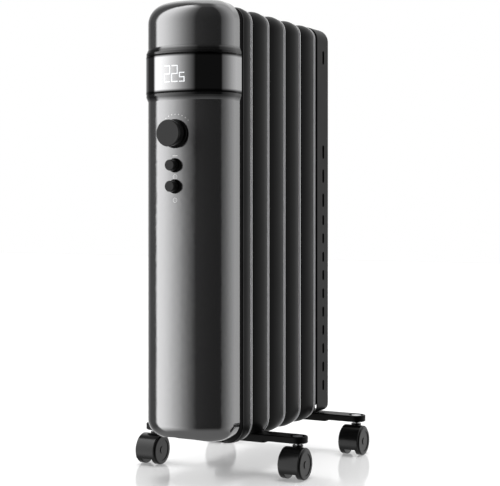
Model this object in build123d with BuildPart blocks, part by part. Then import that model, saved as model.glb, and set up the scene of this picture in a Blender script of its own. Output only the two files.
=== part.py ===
from build123d import *
import math
import os

# Oil filled radiator heater on four swivel castors.
# Millimetres. +Z is up, -Y is the control side, X is the width across the fins.
# The origin is at the middle of the footprint, on the floor.

# ---------------------------------------------------------------- driving sizes
overall_height = 620.0          # floor to the top of the control tower
tower_rise = 5.0                # tower top above the fin tops

fin_half_width = 62.0
fin_count = 5
fin_pitch = 48.0
fin_gap = 4.5                   # air gap between two neighbouring fin edges
fin_bottom = 48.0               # underside of the fins above the floor
fin_top_radius = 19.0
fin_bottom_radius = 26.0
fin_sheet = 1.5
weld_overlap = 0.3              # how far the oil panel sinks into the edge it is welded to
fin_front_sag = 8.0             # how far the rounded edge falls away at its front
fin_rear_sag = 2.4
fin_return = 5.0                # depth of the inward flange at the front of an edge
hem_radius = 1.6                # rolled hem along the rear of an edge
first_fin_depth = 36.0          # the first fin is shorter, it stops at the control tower
panel_thickness = 8.0           # the two pressed sheets that hold the oil
channel_bulge = 3.0
channel_width = 20.0
channel_count = 3
channel_spacing = 30.0
fin_vent_width = 5.0
fin_vent_length = 11.0
fin_vent_pitch = 11.0
fin_vent_count = 7
fin_vent_depth = 7.0            # how far a vent cut reaches down from the crown

duct_diameter = 46.0
duct_bore = 30.0
duct_inset = 45.0               # duct axis above the fin bottom, and below the fin top
duct_cap_thickness = 4.0
duct_front_gap = 6.0            # space between the tower's back plate and the front duct faces

tower_half_width = fin_half_width
tower_side = 14.0               # straight part of each side, next to the fins
tower_nose = 43.0               # depth of the elliptical front
tower_wall = 2.5
tower_bottom = 56.4
tower_bottom_radius = 24.0
tower_top_radius = 28.0
tower_fin_gap = 1.0
arch_rise = 6.0                 # shallow arch in the underside of the tower
arch_half_width = 40.6
back_plate_thickness = 2.0
fit_gap = 0.3                   # clearance between pieces that nest

band_bottom = 500.4             # display band, between the lower housing and the top cap
band_height = 49.6
band_proud = 2.8
band_thickness = 3.0
shoulder_height = 9.0           # flare of the lower housing and of the cap towards the band
shoulder_land = 3.0
shoulder_proud = 2.4
joint_gap = 0.4                 # visible seam above and below the band
band_edge_round = 1.2
carrier_tongue = 12.0           # how far the band carrier reaches into its neighbours
carrier_wall = 2.2

knob_z = 448.0
knob_diameter = 34.0
knob_reach = 18.0               # knob face to the front of the tower
knob_bezel_rim = 1.5            # bezel beyond the knob, on the radius
bezel_height = 4.5
knob_turn_gap = 0.5
knob_lip = 3.0
knob_waist = 1.1                # how much the grip is smaller than the lip, on the radius
shaft_diameter = 6.0
shaft_clearance = 0.1

power_button_z = 408.0
mode_button_z = 381.4
button_diameter = 14.0
button_reach = 14.0
button_travel = 2.5
button_stem_diameter = 8.0
button_bezel_rim = 0.9          # bezel beyond its spigot, on the radius
button_clearance = 0.4
bezel_spigot_length = 6.0       # how far a bezel's spigot stands inside the wall
bezel_spigot_wall = 0.9
bezel_dome_radius = 3.5
knob_spigot_diameter = 20.0
seat_gap = 0.05                 # between a bezel and the wall it sits on
hole_gap = 0.15                 # between a bezel's spigot and its hole
shaft_gap = 0.3

board_setback = 26.0            # control board behind the front of the tower
control_board_z = 418.0
control_board_width = 44.0
control_board_height = 108.0
board_thickness = 1.6
board_post_diameter = 6.0
board_post_inset = 4.0
thermostat_size = 32.0
thermostat_depth = 16.0
switch_size = 12.0
switch_depth = 10.0

module_width = 40.0             # lit display module behind the band
module_height = 30.0
screen_depth = 5.0
digit_height = 21.4
digit_width = 9.4
small_digit_height = 12.4
small_digit_width = 7.6
digit_stroke = 1.3
digit_gap = 1.8
digit_relief = 0.15
digit_base_z = 513.0

power_board_z = 230.0
power_board_width = 80.0
power_board_height = 70.0
board_post_length = 6.0
relay_height = 15.0
terminal_block_z = 165.0
terminal_block_width = 44.0
terminal_block_height = 18.0
terminal_block_depth = 16.0
terminal_pitch = 12.0
terminal_hole_depth = 8.0
thermal_cutout_z = 136.0
thermal_cutout_diameter = 14.0
thermal_cutout_length = 26.0
tip_switch_x = 28.0
tip_switch_width = 22.0
tip_switch_height = 26.0
tip_switch_depth = 18.0

gland_z = 92.0                  # cord inlet in the left side of the tower
gland_diameter = 9.0
gland_flange_diameter = 13.0
gland_flange_thickness = 3.0
gland_inner_length = 6.0
cord_bore = 6.5

standoff_x = 44.5
standoff_levels = (150.0, 520.0)
standoff_diameter = 7.0
standoff_bolt_diameter = 4.0
standoff_nut_across = 7.0
standoff_nut_height = 3.0

cover_shortfall = 7.5           # slotted cover behind the last fin, less deep than the pitch
cover_sheet = 1.6
cover_bottom = 57.5
cover_bottom_radius = 10.0
cover_edge_radius = 5.0
louvre_width = 6.0
short_louvre_length = 15.0
short_louvre_pitch = 26.6
short_louvre_count = 10
short_louvre_top = 336.0        # middle of the highest short louvre
long_louvre_length = 20.0
long_louvre_pitch = 35.0
long_louvre_count = 3
long_louvre_top = 435.0         # middle of the highest long louvre
lone_louvre_z = 572.0

foot_stem_spacing = 219.4       # between the two castor stems of a foot
foot_width = 26.6
foot_top = 55.5
foot_thickness = 9.0
foot_setback = 8.45             # foot axis behind the middle of the panel it hangs from
saddle_length = 134.0           # thicker middle of a foot
saddle_drop = 2.0
foot_bolt_spacing = 60.0
foot_bolt_diameter = 6.0
foot_bolt_shift = 4.0           # bolts stand this far behind the foot axis
bracket_thickness = 2.5
bracket_length = 90.0
bracket_height = 13.0
bracket_cutout_gap = 1.5
recess_diameter = 21.0
recess_depth = 5.0

wheel_radius = 20.0
wheel_width = 8.5
wheel_track = 24.3              # between the middles of the two treads
castor_trail = 8.4
hood_reach = 2.0                # hood crown beyond the wheel, on the radius
hood_wall = 1.4
hood_half_length = 14.5
hood_skirt = 9.5                # height of the hood's lower edge above the floor
axle_diameter = 5.0
axle_running_gap = 0.15
stem_diameter = 8.0
stem_running_gap = 0.15
stem_bottom = 27.5
collar_diameter = 14.0
collar_top = 43.5
washer_diameter = 11.5
washer_thickness = 1.3

# ---------------------------------------------------------------- layout
fin_depth = fin_pitch - fin_gap
panel_centre_offset = fin_depth / 2          # panel middle in front of a fin's rear edge
foot_axis_offset = fin_pitch - panel_centre_offset + foot_setback
cover_depth = fin_pitch - cover_shortfall
tower_depth = tower_side + tower_nose
foot_half_width = foot_width / 2
length_overall = (knob_reach + tower_depth + tower_fin_gap + first_fin_depth
                  + (fin_count - 1) * fin_pitch + foot_axis_offset + foot_half_width)
tower_front_y = -length_overall / 2 + knob_reach
tower_back_y = tower_front_y + tower_depth
first_rear_y = tower_back_y + tower_fin_gap + first_fin_depth
fin_rear_y = [first_rear_y + index * fin_pitch for index in range(fin_count)]
foot_y = [fin_rear_y[0] + foot_axis_offset, fin_rear_y[-1] + foot_axis_offset]
stem_x = foot_stem_spacing / 2
cover_front_y = fin_rear_y[-1] + fin_gap
band_top = band_bottom + band_height
lower_duct_z = fin_bottom + duct_inset
fin_top = overall_height - tower_rise
upper_duct_z = fin_top - duct_inset
duct_front_y = tower_back_y + duct_front_gap
fin_middle_z = (fin_bottom + fin_top) / 2
hood_radius = wheel_radius + hood_reach
gland_y = tower_back_y - tower_side / 2
button_spigot_diameter = button_diameter + 2 * (button_clearance + bezel_spigot_wall)
button_bezel_diameter = button_spigot_diameter + 2 * button_bezel_rim
knob_bezel_diameter = knob_diameter + 2 * knob_bezel_rim
notch_z = foot_top + 0.5                     # trimmed underside of the fin above a foot
foot_bottom = foot_top - foot_thickness
saddle_bottom = foot_bottom - saddle_drop

os.makedirs("parts", exist_ok=True)


def save(piece, name):
    """Label a finished piece and write its STEP file."""
    piece.part.label = name
    export_step(piece.part, f"parts/{name}.step")


def xz_plane(y):
    """Upright plane across the heater at depth y, X to the right and Z up, facing -Y."""
    return Plane(origin=(0, y, 0), x_dir=(1, 0, 0), z_dir=(0, -1, 0))


def upright_outline(half_width, bottom, top, bottom_radius, top_radius):
    """Closed line of a fin seen from the front, starting halfway up its right side."""
    middle = (bottom + top) / 2
    high = top - top_radius
    low = bottom + bottom_radius
    top_x = half_width - top_radius
    bottom_x = half_width - bottom_radius
    Line((half_width, middle), (half_width, high))
    CenterArc((top_x, high), top_radius, 0, 90)
    Line((top_x, top), (-top_x, top))
    CenterArc((-top_x, high), top_radius, 90, 90)
    Line((-half_width, high), (-half_width, low))
    CenterArc((-bottom_x, low), bottom_radius, 180, 90)
    Line((-bottom_x, bottom), (bottom_x, bottom))
    CenterArc((bottom_x, low), bottom_radius, 270, 90)
    Line((half_width, low), (half_width, middle))


def upright_face(y, half_width, bottom, top, bottom_radius, top_radius):
    """Fin shaped face on the upright plane at depth y."""
    with BuildSketch(xz_plane(y)) as face:
        with BuildLine():
            upright_outline(half_width, bottom, top, bottom_radius, top_radius)
        make_face()
    return face.sketch


def tower_plan(z, growth):
    """D shaped plan of the control tower at height z, grown or shrunk all round."""
    half_width = tower_half_width + growth
    nose = tower_nose + growth
    with BuildSketch(Plane(origin=(0, tower_back_y, z))) as plan:
        with BuildLine():
            Line((half_width, 0), (-half_width, 0))
            Line((-half_width, 0), (-half_width, -tower_side))
            EllipticalCenterArc((0, -tower_side), half_width, nose, start_angle=180, arc_size=180)
            Line((half_width, -tower_side), (half_width, 0))
        make_face()
    return plan.sketch


def tower_front_at(x, growth=0.0):
    """Depth of the tower's front surface at a distance x from the middle plane."""
    share = x / (tower_half_width + growth)
    return tower_back_y - tower_side - (tower_nose + growth) * math.sqrt(1 - share * share)


# ---------------------------------------------------------------- oil filled fins
def fin_edge_profile(rear_y, depth):
    """Section of the rounded fin edge: crowned sheet, front return and rolled rear hem."""
    front = -depth
    crest = -depth * 0.45
    rear = -hem_radius
    section = Plane(origin=(fin_half_width, rear_y, fin_middle_z), x_dir=(0, 1, 0), z_dir=(0, 0, 1))
    with BuildSketch(section) as profile:
        with BuildLine():
            ThreePointArc((front, fin_front_sag), (crest, 0), (rear, fin_rear_sag))
            Line((rear, fin_rear_sag), (rear, fin_rear_sag + fin_sheet))
            ThreePointArc(
                (rear, fin_rear_sag + fin_sheet),
                (crest, fin_sheet),
                (front + fin_sheet, fin_front_sag + fin_sheet * 0.8),
            )
            Line((front + fin_sheet, fin_front_sag + fin_sheet * 0.8),
                 (front + fin_sheet, fin_front_sag + fin_return))
            Line((front + fin_sheet, fin_front_sag + fin_return), (front, fin_front_sag + fin_return))
            Line((front, fin_front_sag + fin_return), (front, fin_front_sag))
        make_face()
        with Locations((rear, fin_rear_sag)):
            Circle(hem_radius)
    return profile.sketch


def make_fin(name, rear_y, depth, duct_start_y, trimmed):
    """One welded section: rounded outer edge, oil panel with channels and two oil ducts."""
    panel_y = rear_y - panel_centre_offset
    with BuildPart() as fin:
        with BuildLine(xz_plane(rear_y)) as edge_path:
            upright_outline(fin_half_width, fin_bottom, fin_top,
                            fin_bottom_radius, fin_top_radius)
        sweep(sections=fin_edge_profile(rear_y, depth), path=edge_path.wire())
        vent_row = depth / 2 - fin_sheet
        for level, cut in ((fin_top, -fin_vent_depth), (fin_bottom, fin_vent_depth)):
            with BuildSketch(Plane(origin=(0, panel_y, level))):
                with GridLocations(fin_vent_pitch, fin_vent_length + panel_thickness + 4,
                                   fin_vent_count, 2):
                    SlotOverall(fin_vent_length, fin_vent_width, rotation=90)
            extrude(amount=cut, mode=Mode.SUBTRACT)
        panel_inset = fin_sheet - weld_overlap
        panel_face = upright_face(panel_y + panel_thickness / 2, fin_half_width - panel_inset,
                                  fin_bottom + panel_inset, fin_top - panel_inset,
                                  fin_bottom_radius - panel_inset, fin_top_radius - panel_inset)
        extrude(to_extrude=panel_face, amount=panel_thickness)
        channel_length = upper_duct_z - lower_duct_z - duct_diameter - channel_width
        with BuildSketch(xz_plane(panel_y + panel_thickness / 2 + channel_bulge)):
            with Locations((0, fin_middle_z)):
                with GridLocations(channel_spacing, 1, channel_count, 1):
                    SlotCenterToCenter(channel_length, channel_width, rotation=90)
        extrude(amount=panel_thickness + 2 * channel_bulge)
        with BuildSketch(xz_plane(rear_y)):
            with Locations((0, lower_duct_z), (0, upper_duct_z)):
                Circle(duct_diameter / 2)
        extrude(amount=rear_y - duct_start_y)
        with BuildSketch(xz_plane(rear_y)):
            with Locations((0, lower_duct_z), (0, upper_duct_z)):
                Circle(duct_bore / 2)
        extrude(amount=rear_y - duct_start_y, mode=Mode.SUBTRACT)
        if trimmed:
            with BuildSketch(Plane.XY.offset(notch_z)):
                with Locations((0, panel_y)):
                    Rectangle(3 * fin_half_width, 2 * fin_pitch)
            extrude(amount=-2 * foot_thickness, mode=Mode.SUBTRACT)
    save(fin, name)
    return fin


for index, rear_y in enumerate(fin_rear_y):
    depth = first_fin_depth if index == 0 else fin_depth
    duct_start = duct_front_y if index == 0 else rear_y - fin_pitch
    make_fin(f"fin_{index + 1}", rear_y, depth, duct_start, trimmed=index == 1)

# ---------------------------------------------------------------- end element behind the last fin
end_panel_y = fin_rear_y[-1] + fin_pitch - panel_centre_offset
end_duct_rear_y = end_panel_y + panel_thickness / 2 + channel_bulge + 4.0
end_panel_half_width = fin_half_width - 8.0
end_panel_bottom = cover_bottom + 6.0
end_panel_top = fin_top - 8.0
end_panel_radius = 14.0

with BuildPart() as end_element:
    end_face = upright_face(end_panel_y + panel_thickness / 2, end_panel_half_width,
                            end_panel_bottom, end_panel_top, end_panel_radius, end_panel_radius)
    extrude(to_extrude=end_face, amount=panel_thickness)
    with BuildSketch(xz_plane(end_panel_y + panel_thickness / 2 + channel_bulge)):
        with Locations((0, fin_middle_z)):
            with GridLocations(channel_spacing, 1, channel_count, 1):
                SlotCenterToCenter(upper_duct_z - lower_duct_z - duct_diameter - channel_width,
                                   channel_width, rotation=90)
    extrude(amount=panel_thickness + 2 * channel_bulge)
    with BuildSketch(xz_plane(end_duct_rear_y)):
        with Locations((0, lower_duct_z), (0, upper_duct_z)):
            Circle(duct_diameter / 2)
    extrude(amount=end_duct_rear_y - fin_rear_y[-1])
    with BuildSketch(xz_plane(end_duct_rear_y)):
        with Locations((0, lower_duct_z), (0, upper_duct_z)):
            Circle(duct_bore / 2)
    extrude(amount=end_duct_rear_y - fin_rear_y[-1], mode=Mode.SUBTRACT)
save(end_element, "end_element")

cap_spigot_length = 6.0
cap_spigot_clearance = 0.2
with BuildPart() as duct_end_caps:
    with BuildSketch(xz_plane(end_duct_rear_y + duct_cap_thickness)):
        with Locations((0, lower_duct_z), (0, upper_duct_z)):
            Circle(duct_diameter / 2)
    extrude(amount=duct_cap_thickness)
    with BuildSketch(xz_plane(end_duct_rear_y)):
        with Locations((0, lower_duct_z), (0, upper_duct_z)):
            Circle(duct_bore / 2 - cap_spigot_clearance)
    extrude(amount=cap_spigot_length)
save(duct_end_caps, "duct_end_caps")

# ---------------------------------------------------------------- front of the oil circuit
filler_hole_radius = 7.0
with BuildPart() as filler_boss:
    with BuildSketch(xz_plane(duct_front_y)):
        with Locations((0, upper_duct_z)):
            Circle(duct_diameter / 2)
            Circle(filler_hole_radius, mode=Mode.SUBTRACT)
    extrude(amount=duct_cap_thickness)
save(filler_boss, "filler_boss")

plug_thread_gap = 0.15
plug_head_height = 5.0
plug_head_across = 19.0
with BuildPart() as oil_filler_plug:
    with BuildSketch(xz_plane(duct_front_y - duct_cap_thickness)):
        with Locations((0, upper_duct_z)):
            RegularPolygon(plug_head_across / 2, 6, major_radius=False)
    extrude(amount=plug_head_height)
    with BuildSketch(xz_plane(duct_front_y + duct_cap_thickness)):
        with Locations((0, upper_duct_z)):
            Circle(filler_hole_radius - plug_thread_gap)
    extrude(amount=2 * duct_cap_thickness)
save(oil_filler_plug, "oil_filler_plug")

element_tube_diameter = 8.0
element_tube_spacing = 16.0
element_tube_reach = 200.0
terminal_diameter = 4.0
terminal_length = 14.0
with BuildPart() as heating_element:
    with BuildSketch(xz_plane(duct_front_y)):
        with Locations((0, lower_duct_z)):
            Circle(duct_diameter / 2)
    extrude(amount=duct_cap_thickness)
    with BuildSketch(xz_plane(duct_front_y - duct_cap_thickness)):
        with Locations((0, lower_duct_z)):
            with GridLocations(element_tube_spacing, 1, 2, 1):
                Circle(terminal_diameter / 2)
    extrude(amount=terminal_length)
    with BuildLine(Plane(origin=(0, duct_front_y, lower_duct_z), x_dir=(1, 0, 0),
                         z_dir=(0, 0, 1))) as element_path:
        Line((-element_tube_spacing / 2, 0), (-element_tube_spacing / 2, element_tube_reach))
        CenterArc((0, element_tube_reach), element_tube_spacing / 2, 180, -180)
        Line((element_tube_spacing / 2, element_tube_reach), (element_tube_spacing / 2, 0))
    with BuildSketch(Plane(origin=(-element_tube_spacing / 2, duct_front_y, lower_duct_z),
                           x_dir=(1, 0, 0), z_dir=(0, 1, 0))) as element_section:
        Circle(element_tube_diameter / 2)
    sweep(sections=element_section.sketch, path=element_path.wire())
save(heating_element, "heating_element")

# ---------------------------------------------------------------- slotted rear cover
cover_rear_y = cover_front_y + cover_depth
rear_vent_count = 9
rear_vent_pitch = 11.0
rear_vent_width = 5.0
rear_vent_length = 60.0
rear_vent_rows = (fin_middle_z - 150.0, fin_middle_z, fin_middle_z + 150.0)
louvre_y = cover_front_y + cover_depth / 2
short_louvres = [short_louvre_top - index * short_louvre_pitch for index in range(short_louvre_count)]
long_louvres = [long_louvre_top - index * long_louvre_pitch for index in range(long_louvre_count)]
long_louvres.append(lone_louvre_z)

with BuildPart() as rear_cover:
    cover_face = upright_face(cover_rear_y, fin_half_width, cover_bottom, fin_top,
                              cover_bottom_radius, fin_top_radius)
    extrude(to_extrude=cover_face, amount=cover_depth)
    rear_edges = rear_cover.edges().group_by(Axis.Y)[-1]
    fillet(rear_edges, cover_edge_radius)
    cavity_face = upright_face(cover_rear_y - cover_sheet, fin_half_width - cover_sheet,
                               cover_bottom + cover_sheet, fin_top - cover_sheet,
                               cover_bottom_radius - cover_sheet, fin_top_radius - cover_sheet)
    extrude(to_extrude=cavity_face, amount=cover_depth, mode=Mode.SUBTRACT)
    with BuildSketch(Plane(origin=(-2 * fin_half_width, louvre_y, 0), x_dir=(0, 1, 0),
                           z_dir=(1, 0, 0))) as louvre_holes:
        with Locations(*[(0, z) for z in long_louvres]):
            SlotOverall(long_louvre_length, louvre_width, rotation=90)
        with Locations(*[(0, z) for z in short_louvres]):
            SlotOverall(short_louvre_length, louvre_width, rotation=90)
    extrude(to_extrude=louvre_holes.sketch, amount=4 * fin_half_width, mode=Mode.SUBTRACT)
    cutout_front_y = end_panel_y + panel_thickness / 2 - bracket_cutout_gap
    cutout_rear_y = foot_y[1] + foot_half_width
    with BuildSketch(Plane(origin=(0, (cutout_front_y + cutout_rear_y) / 2, cover_bottom))):
        Rectangle(bracket_length + 2 * bracket_cutout_gap, cutout_rear_y - cutout_front_y)
    extrude(amount=bracket_height, mode=Mode.SUBTRACT)
    for row_z in rear_vent_rows:
        with BuildSketch(xz_plane(cover_rear_y)):
            with Locations((0, row_z)):
                with GridLocations(rear_vent_pitch, 1, rear_vent_count, 1):
                    SlotOverall(rear_vent_length, rear_vent_width, rotation=90)
        extrude(amount=2 * cover_sheet, mode=Mode.SUBTRACT)
save(rear_cover, "rear_cover")

# ---------------------------------------------------------------- feet and what holds them
foot_edge_round = 1.5
nut_pocket_diameter = 14.0
bolt_head_across = 10.0
bolt_head_height = 4.0
bolt_clearance = 0.3
castor_hole_clearance = 0.2
bolt_x = foot_bolt_spacing / 2


def make_foot(name, axis_y):
    """Pressed bar with rounded ends, a thicker middle, bolt pockets and castor recesses."""
    bolt_y = axis_y + foot_bolt_shift
    with BuildPart() as foot:
        with BuildSketch(Plane(origin=(0, axis_y, foot_bottom))):
            SlotCenterToCenter(foot_stem_spacing, foot_width)
        extrude(amount=foot_thickness)
        fillet(foot.edges().group_by(Axis.Z)[-1], foot_edge_round)
        fillet(foot.edges().group_by(Axis.Z)[0], foot_edge_round)
        with BuildSketch(Plane(origin=(0, axis_y, saddle_bottom))):
            RectangleRounded(saddle_length, foot_width, 4.0)
        extrude(amount=foot_thickness / 2 + saddle_drop)
        with BuildSketch(Plane(origin=(0, axis_y, foot_top))):
            with GridLocations(foot_stem_spacing, 1, 2, 1):
                Circle(recess_diameter / 2)
        extrude(amount=-recess_depth, mode=Mode.SUBTRACT)
        with BuildSketch(Plane(origin=(0, axis_y, foot_top))):
            with GridLocations(foot_stem_spacing, 1, 2, 1):
                Circle(stem_diameter / 2 + castor_hole_clearance)
        extrude(amount=-2 * foot_thickness, mode=Mode.SUBTRACT)
        with BuildSketch(Plane(origin=(0, bolt_y, saddle_bottom))):
            with GridLocations(foot_bolt_spacing, 1, 2, 1):
                Circle(nut_pocket_diameter / 2)
        extrude(amount=bolt_head_height + 1.0, mode=Mode.SUBTRACT)
        with BuildSketch(Plane(origin=(0, bolt_y, saddle_bottom))):
            with GridLocations(foot_bolt_spacing, 1, 2, 1):
                Circle(foot_bolt_diameter / 2 + bolt_clearance)
        extrude(amount=2 * foot_thickness, mode=Mode.SUBTRACT)
    save(foot, name)


front_panel_rear_y = fin_rear_y[1] - panel_centre_offset + panel_thickness / 2
rear_panel_rear_y = end_panel_y + panel_thickness / 2
make_foot("front_foot", foot_y[0])
make_foot("rear_foot", foot_y[1])

# Angles welded to the back of an oil panel, with a flat flange on top of each foot.
with BuildPart() as foot_brackets:
    for axis_y, panel_rear_y in ((foot_y[0], front_panel_rear_y), (foot_y[1], rear_panel_rear_y)):
        flange_depth = axis_y + foot_half_width - 1.0 - panel_rear_y
        with BuildSketch(Plane(origin=(0, panel_rear_y + flange_depth / 2, foot_top))):
            Rectangle(bracket_length, flange_depth)
        extrude(amount=bracket_thickness)
        with BuildSketch(Plane(origin=(0, panel_rear_y + bracket_thickness / 2, foot_top))):
            Rectangle(bracket_length, bracket_thickness)
        extrude(amount=bracket_height)
        with BuildSketch(Plane(origin=(0, axis_y + foot_bolt_shift, foot_top))):
            with GridLocations(foot_bolt_spacing, 1, 2, 1):
                Circle(foot_bolt_diameter / 2 + bolt_clearance)
        extrude(amount=bracket_thickness, mode=Mode.SUBTRACT)
save(foot_brackets, "foot_brackets")

bolt_seat_z = saddle_bottom + bolt_head_height + 1.0
bolt_nut_height = 4.0
with BuildPart() as foot_bolts:
    for axis_y in foot_y:
        with BuildSketch(Plane(origin=(0, axis_y + foot_bolt_shift, bolt_seat_z))):
            with GridLocations(foot_bolt_spacing, 1, 2, 1):
                RegularPolygon(bolt_head_across / 2, 6, major_radius=False)
        extrude(amount=-bolt_head_height)
        with BuildSketch(Plane(origin=(0, axis_y + foot_bolt_shift, bolt_seat_z))):
            with GridLocations(foot_bolt_spacing, 1, 2, 1):
                Circle(foot_bolt_diameter / 2)
        extrude(amount=foot_top + bracket_thickness + bolt_nut_height + 1.0 - bolt_seat_z)
save(foot_bolts, "foot_bolts")

foot_nut_gap = 0.1
with BuildPart() as foot_nuts:
    for axis_y in foot_y:
        with BuildSketch(Plane(origin=(0, axis_y + foot_bolt_shift, foot_top + bracket_thickness))):
            with GridLocations(foot_bolt_spacing, 1, 2, 1):
                RegularPolygon(bolt_head_across / 2, 6, major_radius=False)
                Circle(foot_bolt_diameter / 2 + foot_nut_gap, mode=Mode.SUBTRACT)
        extrude(amount=bolt_nut_height)
save(foot_nuts, "foot_nuts")

# ---------------------------------------------------------------- castors
castor_nut_across = 13.0
castor_nut_height = 4.5
recess_floor = foot_top - recess_depth
stem_top = recess_floor + castor_nut_height
wheel_inner_x = wheel_track / 2 - wheel_width / 2
wheel_outer_x = wheel_inner_x + wheel_width
hub_cap = 1.2                   # wall that closes the outer end of a wheel's bore
web_half_width = wheel_inner_x - 0.5
wheel_edge_round = 2.2
wheel_dish_radius = wheel_radius - 5.5
wheel_dish_depth = 0.8
wheel_boss_radius = 5.0
hood_bore_gap = 0.02
wheel_hood_gap = 0.6
socket_depth_clearance = 0.5


def make_castor(prefix, x, y):
    """Swivelling part of one castor: hood with its socket, axle and two wheels."""
    axle_y = y - castor_trail
    axle_plane = Plane(origin=(x, axle_y, wheel_radius), x_dir=(0, 1, 0), z_dir=(1, 0, 0))

    with BuildPart() as hood:
        with BuildSketch(axle_plane.offset(-hood_half_length)):
            Circle(hood_radius)
        extrude(amount=2 * hood_half_length)
        fillet(hood.edges().filter_by(GeomType.CIRCLE), 1.0)
        with BuildSketch(Plane(origin=(x, y, wheel_radius))):
            Circle(collar_diameter / 2)
        extrude(amount=collar_top - wheel_radius)
        for start, side in ((web_half_width, 1), (-web_half_width, -1)):
            with BuildSketch(axle_plane.offset(start)):
                Circle(wheel_radius + wheel_hood_gap)
            extrude(amount=side * hood_half_length, mode=Mode.SUBTRACT)
        with BuildSketch(Plane(origin=(x, axle_y, hood_skirt))):
            Rectangle(3 * hood_half_length, 3 * hood_radius)
        extrude(amount=-hood_radius, mode=Mode.SUBTRACT)
        with BuildSketch(Plane(origin=(x, y, collar_top))):
            Circle(stem_diameter / 2 + stem_running_gap)
        extrude(amount=-(collar_top - stem_bottom + socket_depth_clearance), mode=Mode.SUBTRACT)
        with BuildSketch(axle_plane.offset(-hood_half_length)):
            Circle(axle_diameter / 2 + hood_bore_gap)
        extrude(amount=2 * hood_half_length, mode=Mode.SUBTRACT)
    save(hood, f"{prefix}_hood")

    axle_half_length = wheel_outer_x - hub_cap - 0.3
    with BuildPart() as axle:
        with BuildSketch(axle_plane.offset(-axle_half_length)):
            Circle(axle_diameter / 2)
        extrude(amount=2 * axle_half_length)
        chamfer(axle.edges().filter_by(GeomType.CIRCLE), 0.5)
    save(axle, f"{prefix}_axle")

    for label, side in (("wheel_left", -1), ("wheel_right", 1)):
        with BuildPart() as wheel:
            with BuildSketch(axle_plane.offset(side * wheel_inner_x)):
                Circle(wheel_radius)
            extrude(amount=side * wheel_width)
            rims = wheel.edges().filter_by(GeomType.CIRCLE).sort_by(Axis.X)
            outer_rim = rims[-1] if side > 0 else rims[0]
            inner_rim = rims[0] if side > 0 else rims[-1]
            fillet(outer_rim, wheel_edge_round)
            fillet(inner_rim, 1.0)
            with BuildSketch(axle_plane.offset(side * wheel_outer_x)):
                Circle(wheel_dish_radius)
                Circle(wheel_boss_radius, mode=Mode.SUBTRACT)
            extrude(amount=-side * wheel_dish_depth, mode=Mode.SUBTRACT)
            with BuildSketch(axle_plane.offset(side * wheel_inner_x)):
                Circle(axle_diameter / 2 + axle_running_gap)
            extrude(amount=side * (wheel_width - hub_cap), mode=Mode.SUBTRACT)
        save(wheel, f"{prefix}_{label}")


for row, axis_y in (("front", foot_y[0]), ("rear", foot_y[1])):
    for hand, x in (("left", -stem_x), ("right", stem_x)):
        make_castor(f"{row}_{hand}", x, axis_y)

with BuildPart() as castor_stems:
    for axis_y in foot_y:
        with BuildSketch(Plane(origin=(0, axis_y, stem_bottom))):
            with GridLocations(foot_stem_spacing, 1, 2, 1):
                Circle(stem_diameter / 2)
        extrude(amount=stem_top - stem_bottom)
        with BuildSketch(Plane(origin=(0, axis_y, foot_bottom))):
            with GridLocations(foot_stem_spacing, 1, 2, 1):
                Circle(washer_diameter / 2)
        extrude(amount=-washer_thickness)
save(castor_stems, "castor_stems")

with BuildPart() as castor_nuts:
    for axis_y in foot_y:
        with BuildSketch(Plane(origin=(0, axis_y, recess_floor))):
            with GridLocations(foot_stem_spacing, 1, 2, 1):
                RegularPolygon(castor_nut_across / 2, 6, major_radius=False)
                Circle(stem_diameter / 2 + foot_nut_gap, mode=Mode.SUBTRACT)
        extrude(amount=castor_nut_height)
save(castor_nuts, "castor_nuts")

# ---------------------------------------------------------------- control tower shells
core_bottom_radius = tower_bottom_radius - tower_wall
core_top_radius = tower_top_radius - tower_wall
lower_top = band_bottom - joint_gap
cap_bottom = band_top + joint_gap
screw_boss_diameter = 8.0
screw_boss_length = 14.0
screw_boss_x = tower_half_width - tower_wall - screw_boss_diameter / 2 + weld_overlap
screw_boss_levels = (120.0, 300.0, 470.0, 575.0)
screw_pilot_diameter = 2.6
arch_overshoot = 4.0


def arch_cut(lift):
    """Face below the shallow arch in the tower's underside, on the upright back plane."""
    level = tower_bottom + lift
    reach = arch_half_width * math.sqrt(1 + arch_overshoot / arch_rise)
    with BuildSketch(xz_plane(tower_back_y + 1.0)) as arch:
        with BuildLine():
            ThreePointArc((-reach, level - arch_overshoot), (0, level + arch_rise),
                          (reach, level - arch_overshoot))
            Line((reach, level - arch_overshoot), (reach, level - 3 * arch_rise))
            Line((reach, level - 3 * arch_rise), (-reach, level - 3 * arch_rise))
            Line((-reach, level - 3 * arch_rise), (-reach, level - arch_overshoot))
        make_face()
    return arch.sketch


def front_edges_at(piece, z):
    """Edges of the outline at height z, without the straight one along the back."""
    level = piece.edges().filter_by_position(Axis.Z, z - 0.01, z + 0.01)
    return level.sort_by(Axis.Y)[:-1]


with BuildPart() as lower_core:
    extrude(to_extrude=tower_plan(tower_bottom + tower_wall, -tower_wall),
            amount=lower_top - tower_bottom)
    fillet(front_edges_at(lower_core, tower_bottom + tower_wall), core_bottom_radius)
    extrude(to_extrude=arch_cut(tower_wall), amount=2 * tower_depth, mode=Mode.SUBTRACT)

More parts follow.
